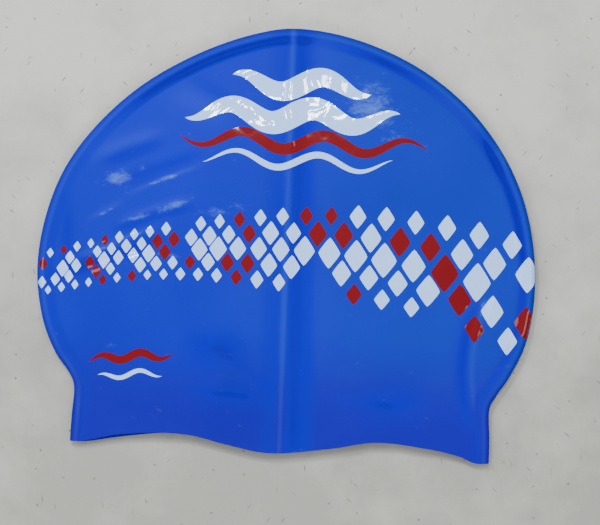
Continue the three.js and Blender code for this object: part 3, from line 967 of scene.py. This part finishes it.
def sparse_marks(tree, place, cell, radius, left_out):
    """Small round marks, one to a cell of the surface. In the given share of the cells there is none,
    and in the others they are more or less dark."""
    cells = add(tree, "ShaderNodeTexVoronoi", {"Vector": place, "Scale": 1 / cell}, voronoi_dimensions="2D")
    shape = add(tree, "ShaderNodeMapRange", {"Value": cells.outputs["Distance"], "From Min": radius / cell,
                                             "From Max": MARK_CORE * radius / cell})
    chance = add(tree, "ShaderNodeSeparateColor", {"Color": cells.outputs["Color"]})
    kept = add(tree, "ShaderNodeMapRange", {"Value": chance.outputs["Red"], "From Min": left_out})
    return add(tree, "ShaderNodeMath", {0: shape.outputs["Result"], 1: kept.outputs["Result"]},
               operation="MULTIPLY").outputs["Value"]


def sealed_screed():
    """Power-floated screed under a clear sealer: pale grey with faint clouds and a painted shade that
    greys it towards the mouth, a few dark specks and short scratches, and next to no shine."""
    material, tree = new_material("sealed screed")
    place = add(tree, "ShaderNodeTexCoord", {}).outputs["Object"]
    axes = add(tree, "ShaderNodeSeparateXYZ", {"Vector": place})
    # Painted shade: greyer towards the mouth and paler beyond the crown, for the light's falloff.
    side = add(tree, "ShaderNodeMapRange", {"Value": axes.outputs["Y"], "From Min": -FLOOR_PAINTED_SHADE_REACH,
                                            "From Max": FLOOR_PAINTED_SHADE_REACH}, interpolation_type="SMOOTHSTEP")
    clouds = add(tree, "ShaderNodeTexNoise", {"Vector": place, "Scale": 1 / FLOOR_CLOUD, "Detail": 7,
                                              "Roughness": 0.68})
    cloudy = add(tree, "ShaderNodeMapRange", {"Value": clouds.outputs["Fac"], "From Min": 0.25,
                                              "From Max": 0.75, "To Min": -CLOUDINESS,
                                              "To Max": CLOUDINESS})
    share = add(tree, "ShaderNodeMath", {0: side.outputs["Result"], 1: cloudy.outputs["Result"]},
                operation="ADD", use_clamp=True)
    clouds_and_painted_shade = add(tree, "ShaderNodeMix", {MIX_FACTOR: share.outputs["Value"], MIX_A: linear(FLOOR_GREY),
                                       MIX_B: linear(FLOOR_PALE)}, data_type="RGBA")
    marks = sparse_marks(tree, place, SPECK_CELL, SPECK_RADIUS, SPECKS_LEFT_OUT)
    for turn in SCRATCH_TURNS:
        drawn = add(tree, "ShaderNodeMapping", {"Vector": place, "Rotation": (0, 0, math.radians(turn)),
                                                "Scale": (1, SCRATCH_SLIMNESS, 1)}, vector_type="TEXTURE")
        scratches = sparse_marks(tree, drawn.outputs["Vector"], SCRATCH_CELL, SCRATCH_REACH,
                                 SCRATCHES_LEFT_OUT)
        marks = add(tree, "ShaderNodeMath", {0: marks, 1: scratches}, operation="MAXIMUM").outputs["Value"]
    colours = add(tree, "ShaderNodeMix", {MIX_FACTOR: marks, MIX_A: clouds_and_painted_shade.outputs[MIX_RESULT],
                                          MIX_B: linear(FLOOR_MARK)}, data_type="RGBA")
    shader = add(tree, "ShaderNodeBsdfPrincipled",
                 {"Base Color": colours.outputs[MIX_RESULT], "Roughness": 0.6})
    add(tree, "ShaderNodeOutputMaterial", {"Surface": shader.outputs["BSDF"]})
    return material


# The setting

# The floor lies just below the cap, so that their faces don't share a plane.
FLOOR_SIZE = 3.0
FLOOR_GAP = 0.02 * MM

# Three small lamps beyond the crown give the glints, and larger boxes on three sides soften what
# they leave dark. All face the middle of the cap. Places and sizes are in metres, power in watts.
LAMPS = [
    {"name": "crown_lamp", "place": (-0.2, 0.3, 0.7), "width": 0.12, "length": 0.08, "power": 3.5},
    {"name": "high_lamp", "place": (-0.03, 0.31, 1.1), "width": 0.12, "length": 0.08, "power": 4.0},
    {"name": "far_lamp", "place": (0.12, 0.36, 0.9), "width": 0.1, "length": 0.06, "power": 1.5},
    {"name": "left_box", "place": (-0.65, 0.1, 0.8), "width": 0.5, "length": 0.5, "power": 5.0},
    {"name": "right_box", "place": (0.65, 0.1, 0.8), "width": 0.5, "length": 0.5, "power": 3.5},
    {"name": "mouth_box", "place": (0.0, -0.65, 0.7), "width": 0.8, "length": 0.4, "power": 4.5},
]
ROOM_COLOUR = "#e8e9ea"
ROOM_STRENGTH = 0.3

# The photograph's frame: its width at the cap, the point in its middle, and how the camera stands.
# The camera looks almost straight down and is rolled a little. The sensor's width is in millimetres.
VIEW_WIDTH = 0.2638
VIEW_MIDDLE = Vector((0.0057, -0.0098, 0.008))
CAMERA_DISTANCE = 0.75
CAMERA_ELEVATION = math.radians(88)
CAMERA_ROLL = math.radians(3.2)
SENSOR_WIDTH = 36.0


def make_floor():
    """A wide pale floor, which isn't part of the cap."""
    bm = bmesh.new()
    bmesh.ops.create_grid(bm, x_segments=1, y_segments=1, size=FLOOR_SIZE / 2)
    bmesh.ops.translate(bm, verts=bm.verts, vec=(0, 0, -FLOOR_GAP))
    make_object("floor", bm, sealed_screed())


def aim(obj, target, roll=0.0):
    """Turns a camera or light to face a point, with the top of its view towards +Y."""
    back = (obj.location - target).normalized()
    top = Vector((-math.sin(roll), math.cos(roll), 0))
    side = top.cross(back).normalized()
    turn = Matrix((side, back.cross(side), back)).transposed()
    obj.matrix_world = Matrix.Translation(obj.location) @ turn.to_4x4()


def add_lamp(row):
    """A soft lamp with an oblong face, turned to the cap."""
    lamp = bpy.data.lights.new(row["name"], "AREA")
    lamp.shape = "RECTANGLE"
    lamp.size = row["width"]
    lamp.size_y = row["length"]
    lamp.energy = row["power"]
    obj = bpy.data.objects.new(row["name"], lamp)
    obj.location = row["place"]
    bpy.context.scene.collection.objects.link(obj)
    aim(obj, Vector((0, 0, 0)))


def make_lights():
    """The lamps, and an even room light round them."""
    for row in LAMPS:
        add_lamp(row)
    world = bpy.data.worlds.new("room")
    world.use_nodes = True
    background = world.node_tree.nodes["Background"]
    background.inputs["Color"].default_value = linear(ROOM_COLOUR)
    background.inputs["Strength"].default_value = ROOM_STRENGTH
    bpy.context.scene.world = world


def make_camera():
    """The camera at the photograph's angle, far enough off to see the frame's width at the cap."""
    data = bpy.data.cameras.new("camera")
    data.sensor_width = SENSOR_WIDTH
    data.lens = SENSOR_WIDTH * CAMERA_DISTANCE / VIEW_WIDTH
    camera = bpy.data.objects.new("camera", data)
    back = Vector((0, -math.cos(CAMERA_ELEVATION), math.sin(CAMERA_ELEVATION)))
    camera.location = VIEW_MIDDLE + back * CAMERA_DISTANCE
    bpy.context.scene.collection.objects.link(camera)
    aim(camera, VIEW_MIDDLE, CAMERA_ROLL)
    bpy.context.scene.camera = camera


make_camera()
make_floor()
make_lights()
make_shell(moulded_silicone())
for row in INKS:
    make_print(row["ink"], silicone_ink(**row))
